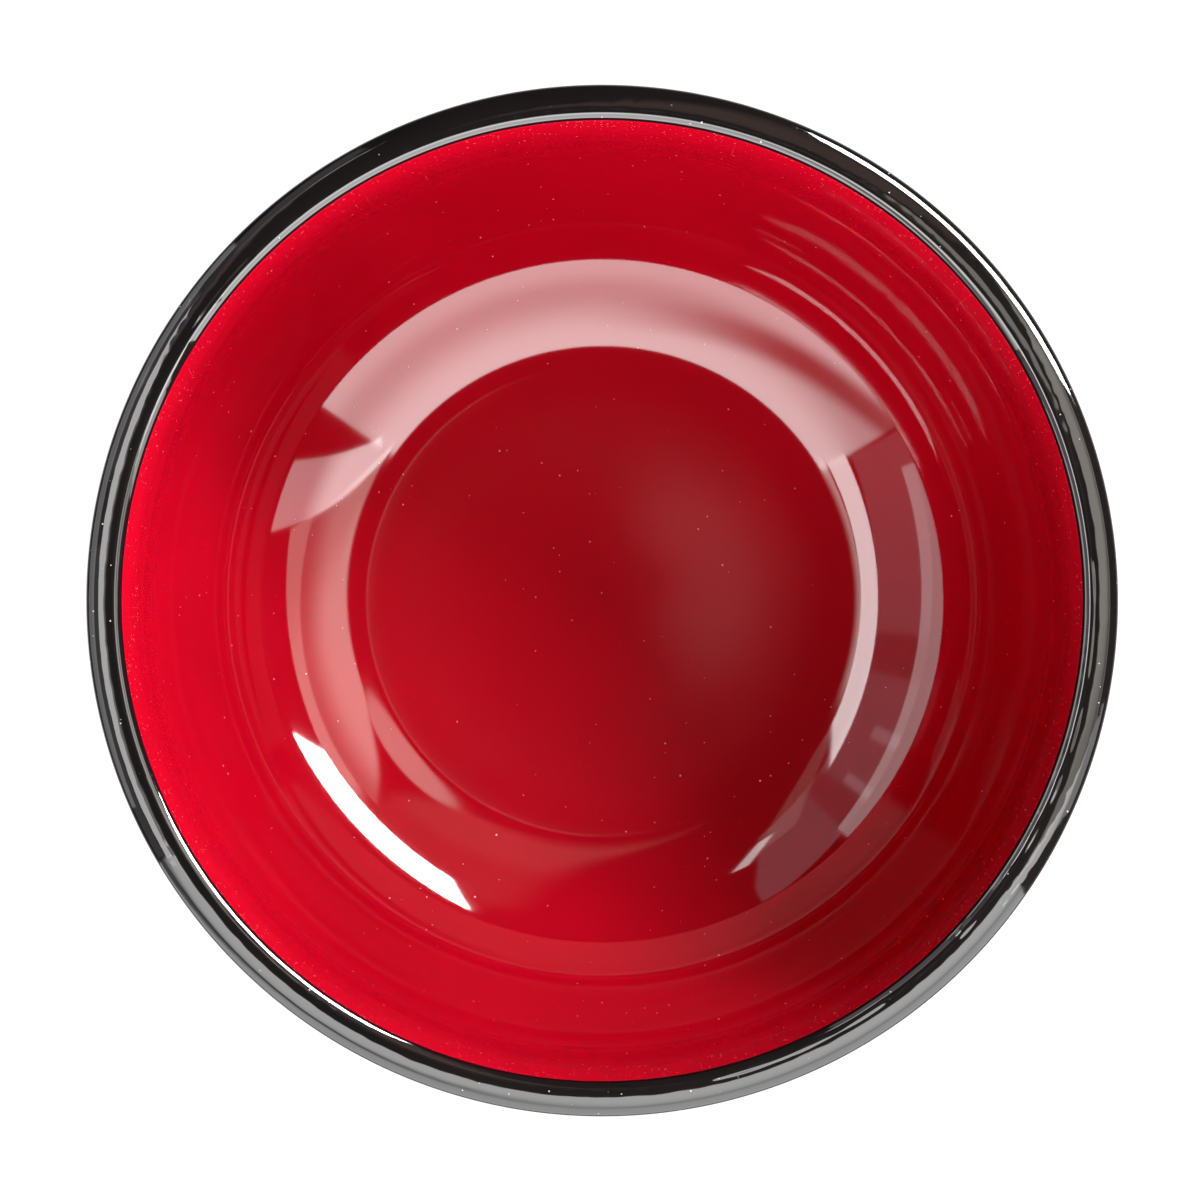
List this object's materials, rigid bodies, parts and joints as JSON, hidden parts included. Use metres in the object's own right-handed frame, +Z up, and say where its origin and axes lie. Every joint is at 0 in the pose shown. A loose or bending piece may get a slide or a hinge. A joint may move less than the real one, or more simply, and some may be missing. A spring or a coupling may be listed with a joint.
{
  "type": "miso soup bowl",
  "caption": "Deep round soup bowl on a foot ring, a glossy black moulded shell with a rounded rim and a glossy red liner fused inside it, for holding soup.",
  "frame": {"origin": "centre of the foot ring, on the surface that the bowl stands on", "axes": "+Z up along the bowl's axis of revolution; X and Y lie in the table and are equal, because the bowl is round"},
  "size_m": [0.115, 0.115, 0.07],
  "materials": {
    "black_melamine": "gloss, as moulded and polished",
    "red_melamine": "gloss, as moulded and polished"
  },
  "bodies": {
    "root": {"outer_shell": "black_melamine", "inner_liner": "red_melamine"}
  },
  "joints": []
}
